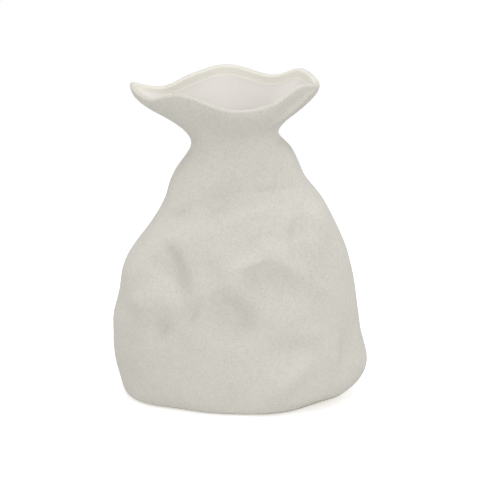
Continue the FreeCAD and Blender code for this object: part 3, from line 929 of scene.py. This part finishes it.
def new_material(name):
    """A new material, its emptied node tree and the place on the piece that patterns follow."""
    material = bpy.data.materials.new(name)
    material.use_nodes = True
    tree = material.node_tree
    tree.nodes.clear()
    return material, tree, add(tree, "ShaderNodeTexCoord")["Object"]


def toned(tree, colour, pattern, strength):
    """A colour that a pattern makes up to half the strength darker or lighter."""
    tone = add(tree, MATH, pattern, strength, 1 - strength / 2, operation="MULTIPLY_ADD")[0]
    return add(tree, VECTOR, tuple(colour)[:3], named={"Scale": tone}, operation="SCALE")[0]


def close_tree(tree, base, height, roughness, ior):
    """Ends a material's tree with its relief, from a height in metres, its shader and its output."""
    bump = add(tree, "ShaderNodeBump", named={"Strength": 1.0, "Distance": 1.0, "Height": height})[0]
    surface = {"Base Color": base, "Roughness": roughness, "IOR": ior, "Normal": bump}
    shader = add(tree, "ShaderNodeBsdfPrincipled", named=surface)[0]
    add(tree, "ShaderNodeOutputMaterial", shader)


def stoneware(name, finish):
    """Fired stoneware with a matt skin: soft wide highlights, pale body, tiny specks and pinholes, and a
    lip and inside painted paler, partly as painted light.
    """
    material, tree, place = new_material(name)
    # How much paler the lip and the inside are painted: the rim's paler glaze and painted light where they
    # face the lamps. There the specks and the grain are left out.
    lip = add(tree, "ShaderNodeAttribute", attribute_name="lip_share")["Fac"]
    outside = add(tree, MATH, 1.0, lip, operation="SUBTRACT")[0]
    # Patches of slightly different tone, some 45 mm wide, keep large areas from looking like plastic.
    cloud = add(tree, NOISE, named={"Vector": place, "Scale": 1 / CLOUD_SIZE, "Detail": 2.0})[0]
    # The clay's own grain is finer than a pixel, so it is drawn coarse enough to be seen.
    grain = add(tree, NOISE, named={"Vector": place, "Scale": 1 / GRAIN_SIZE, "Detail": 2.0})[0]
    # Specks about 1 mm wide, of uneven darkness, some 2 mm apart.
    cells = add(tree, "ShaderNodeTexVoronoi", named={"Vector": place, "Scale": 1 / SPECK_PITCH})
    near = add(tree, "ShaderNodeMapRange", cells["Distance"], *SPECK_EDGE_SHARES, 1.0, 0.0)[0]
    chance = add(tree, "ShaderNodeSeparateColor", cells["Color"])[0]
    chosen = add(tree, "ShaderNodeMapRange", chance, *SPECK_CHANCE_SHARES, 0.0, 1.0)[0]
    speck = add(tree, MATH, near, chosen, operation="MULTIPLY")[0]
    speck = add(tree, MATH, speck, outside, operation="MULTIPLY")[0]
    tint = add(tree, MATH, speck, SPECK_STRENGTH, operation="MULTIPLY")[0]
    colours = {0: tint, 6: tuple(finish.clay), 7: tuple(finish.speck)}
    base = add(tree, MIX, named=colours, data_type="RGBA")[2]
    tone = add(tree, MATH, cloud, CLOUD_STRENGTH, 1 - CLOUD_STRENGTH / 2, operation="MULTIPLY_ADD")[0]
    fine = add(tree, MATH, grain, GRAIN_STRENGTH, -GRAIN_STRENGTH / 2, operation="MULTIPLY_ADD")[0]
    fine = add(tree, MATH, fine, outside, tone, operation="MULTIPLY_ADD")[0]
    # Painted light and the rim's paler glaze whiten the lip and the inside.
    fine = add(tree, MATH, lip, LIP_PALENESS_AND_PAINTED_LIGHT, fine, operation="MULTIPLY_ADD")[0]
    base = add(tree, VECTOR, base, named={"Scale": fine}, operation="SCALE")[0]
    hollow = add(tree, MATH, speck, -PINHOLE_DEPTH, operation="MULTIPLY")[0]
    height = add(tree, MATH, grain, GRAIN_HEIGHT, hollow, operation="MULTIPLY_ADD")[0]
    # The palm leaves shallow patches about 12 mm wide.
    palm = add(tree, NOISE, named={"Vector": place, "Scale": 1 / PALM_MARK_SIZE, "Detail": 1.0})[0]
    height = add(tree, MATH, palm, PALM_MARK_HEIGHT, height, operation="MULTIPLY_ADD")[0]
    close_tree(tree, base, height, CLAY_ROUGHNESS, CLAY_IOR)
    return material


def bare_clay(name, finish):
    """Unglazed clay under the foot: rougher, warmer and a little darker than the skin."""
    material, tree, place = new_material(name)
    grain = add(tree, NOISE, named={"Vector": place, "Scale": 1 / GRAIN_SIZE, "Detail": 3.0})[0]
    base = toned(tree, finish.bare_clay, grain, BARE_GRAIN_STRENGTH)
    height = add(tree, MATH, grain, BARE_GRAIN_HEIGHT, operation="MULTIPLY")[0]
    close_tree(tree, base, height, BARE_CLAY_ROUGHNESS, CLAY_IOR)
    return material


def satin_glaze(name, finish):
    """Satin glaze of the inside: smooth, cream, with a wide soft sheen and no specks."""
    material, tree, place = new_material(name)
    cloud = add(tree, NOISE, named={"Vector": place, "Scale": 1 / CLOUD_SIZE, "Detail": 1.0})[0]
    base = toned(tree, finish.glaze, cloud, CLOUD_STRENGTH)
    # Glaze settles in shallow waves about 12 mm long, which break its sheen.
    wave = add(tree, NOISE, named={"Vector": place, "Scale": 1 / GLAZE_WAVE_SIZE, "Detail": 0.0})[0]
    height = add(tree, MATH, wave, GLAZE_WAVE_HEIGHT, operation="MULTIPLY")[0]
    close_tree(tree, base, height, GLAZE_ROUGHNESS, GLAZE_IOR)
    return material


def rubber(name, finish):
    """Grey moulded rubber: dull, with a fine even grain."""
    material, tree, place = new_material(name)
    grain = add(tree, NOISE, named={"Vector": place, "Scale": 1 / GRAIN_SIZE, "Detail": 1.0})[0]
    height = add(tree, MATH, grain, GRAIN_HEIGHT, operation="MULTIPLY")[0]
    close_tree(tree, tuple(finish.rubber), height, RUBBER_ROUGHNESS, RUBBER_IOR)
    return material


def stage_floor(name, finish):
    """Matt floor, whitened where the camera sees it, darker to the vase, with a glow by the foot."""
    material, tree, place = new_material(name)
    seen = add(tree, "ShaderNodeLightPath")["Is Camera Ray"]
    away = add(tree, VECTOR, place, operation="LENGTH")["Value"]
    fade = {
        "Value": away,
        "From Min": GLOW_NEAR,
        "From Max": GLOW_FAR,
        "To Min": finish.glow,
        "To Max": 0.0,
    }
    under = add(tree, "ShaderNodeMapRange", named=fade, interpolation_type="SMOOTHSTEP")[0]
    white = add(tree, MATH, seen, finish.floor_white, operation="MULTIPLY")[0]
    strength = add(tree, MATH, under, white, operation="MAXIMUM")[0]
    light = add(tree, "ShaderNodeEmission", WHITE, strength)[0]
    bounce = add(tree, "ShaderNodeBsdfDiffuse", tuple(finish.bounce))[0]
    pale = add(tree, "ShaderNodeBsdfDiffuse", tuple(finish.floor))[0]
    matt = add(tree, "ShaderNodeMixShader", seen, bounce, pale)[0]
    shader = add(tree, "ShaderNodeAddShader", matt, light)[0]
    add(tree, "ShaderNodeOutputMaterial", shader)
    return material


def finish_of(name):
    """The material of that name, made when it is first asked for."""
    makers = {
        "Speckled stoneware": stoneware,
        "Bare foot clay": bare_clay,
        "Satin cream glaze": satin_glaze,
        "Grey rubber": rubber,
        "Stage floor": stage_floor,
    }
    return bpy.data.materials.get(name) or makers[name](name, bpy.context.scene.vase_finish)


def white_world(finish):
    """White all round: plain white where it is seen or mirrored, softer where it lights the vase."""
    world = bpy.data.worlds.new("White studio")
    world.use_nodes = True
    tree = world.node_tree
    tree.nodes.clear()
    ray = add(tree, "ShaderNodeLightPath")
    seen = add(tree, MATH, ray["Is Camera Ray"], ray["Is Glossy Ray"], operation="MAXIMUM")[0]
    seen = add(tree, MATH, seen, ray["Is Transmission Ray"], operation="MAXIMUM")[0]
    soft = add(tree, "ShaderNodeBackground", linear(WORLD_TINT), finish.fill)[0]
    white = add(tree, "ShaderNodeBackground", WHITE, 1.0)[0]
    mixed = add(tree, "ShaderNodeMixShader", seen, soft, white)[0]
    add(tree, "ShaderNodeOutputWorld", mixed)
    return world


def area_light(name, place, watts):
    """A soft square light that faces the middle of the vase and isn't seen itself."""
    light = bpy.data.lights.new(name, "AREA")
    light.size = LAMP_SIZE
    light.energy = watts
    lamp = bpy.data.objects.new(name, light)
    lamp.location = place
    lamp.visible_camera = False
    lamp.rotation_euler = (Vector(CAMERA_TARGET) - Vector(place)).to_track_quat("-Z", "Y").to_euler()
    bpy.context.scene.collection.objects.link(lamp)


class VASE_OT_stage(bpy.types.Operator):
    """Make the floor, the lights and the camera"""

    bl_idname = "vase.stage"
    bl_label = "Stage"

    def execute(self, context):
        finish = context.scene.vase_finish
        mesh = bpy.data.meshes.new("studio_floor")
        edge = FLOOR_SIZE / 2
        corners = [(-edge, -edge, 0), (edge, -edge, 0), (edge, edge, 0), (-edge, edge, 0)]
        mesh.from_pydata(corners, [], [(0, 1, 2, 3)])
        mesh.materials.append(finish_of("Stage floor"))
        floor = bpy.data.objects.new("studio_floor", mesh)
        context.scene.collection.objects.link(floor)
        context.scene.world = white_world(finish)
        for name, place in LAMP_PLACES.items():
            area_light(name, place, getattr(finish, name))
        camera = bpy.data.cameras.new("Camera")
        camera.lens = CAMERA_LENS
        camera.sensor_width = CAMERA_SENSOR
        eye = bpy.data.objects.new("Camera", camera)
        away = Vector((0, -math.cos(CAMERA_ELEVATION), math.sin(CAMERA_ELEVATION)))
        eye.location = Vector(CAMERA_TARGET) + away * CAMERA_DISTANCE
        eye.rotation_euler = (math.pi / 2 - CAMERA_ELEVATION, 0, 0)
        context.scene.collection.objects.link(eye)
        context.scene.camera = eye
        context.scene.view_settings.view_transform = "Standard"
        return {"FINISHED"}


class VASE_PT_panel(bpy.types.Panel):
    """Sizes, colours and steps of the vase"""

    bl_label = "Pillow vase"
    bl_idname = "VASE_PT_panel"
    bl_space_type = "VIEW_3D"
    bl_region_type = "UI"
    bl_category = "Vase"

    def draw(self, context):
        for operator in OPERATORS:
            self.layout.operator(operator.bl_idname)
        for group in (context.scene.vase_sizes, context.scene.vase_finish):
            column = self.layout.column(align=True)
            for name in group.bl_rna.properties.keys():
                if name in type(group).__annotations__:
                    column.prop(group, name)


OPERATORS = (VASE_OT_walls, VASE_OT_base, VASE_OT_collar, VASE_OT_lining, VASE_OT_pads, VASE_OT_stage)
CLASSES = (VaseSizes, VaseFinish, *OPERATORS, VASE_PT_panel)


def register():
    for cls in CLASSES:
        bpy.utils.register_class(cls)
    bpy.types.Scene.vase_sizes = PointerProperty(type=VaseSizes)
    bpy.types.Scene.vase_finish = PointerProperty(type=VaseFinish)


def unregister():
    del bpy.types.Scene.vase_finish
    del bpy.types.Scene.vase_sizes
    for cls in reversed(CLASSES):
        bpy.utils.unregister_class(cls)


def main():
    register()
    bpy.ops.vase.walls()
    bpy.ops.vase.base()
    bpy.ops.vase.collar()
    bpy.ops.vase.lining()
    bpy.ops.vase.pads()
    bpy.ops.vase.stage()


if __name__ == "__main__":
    main()
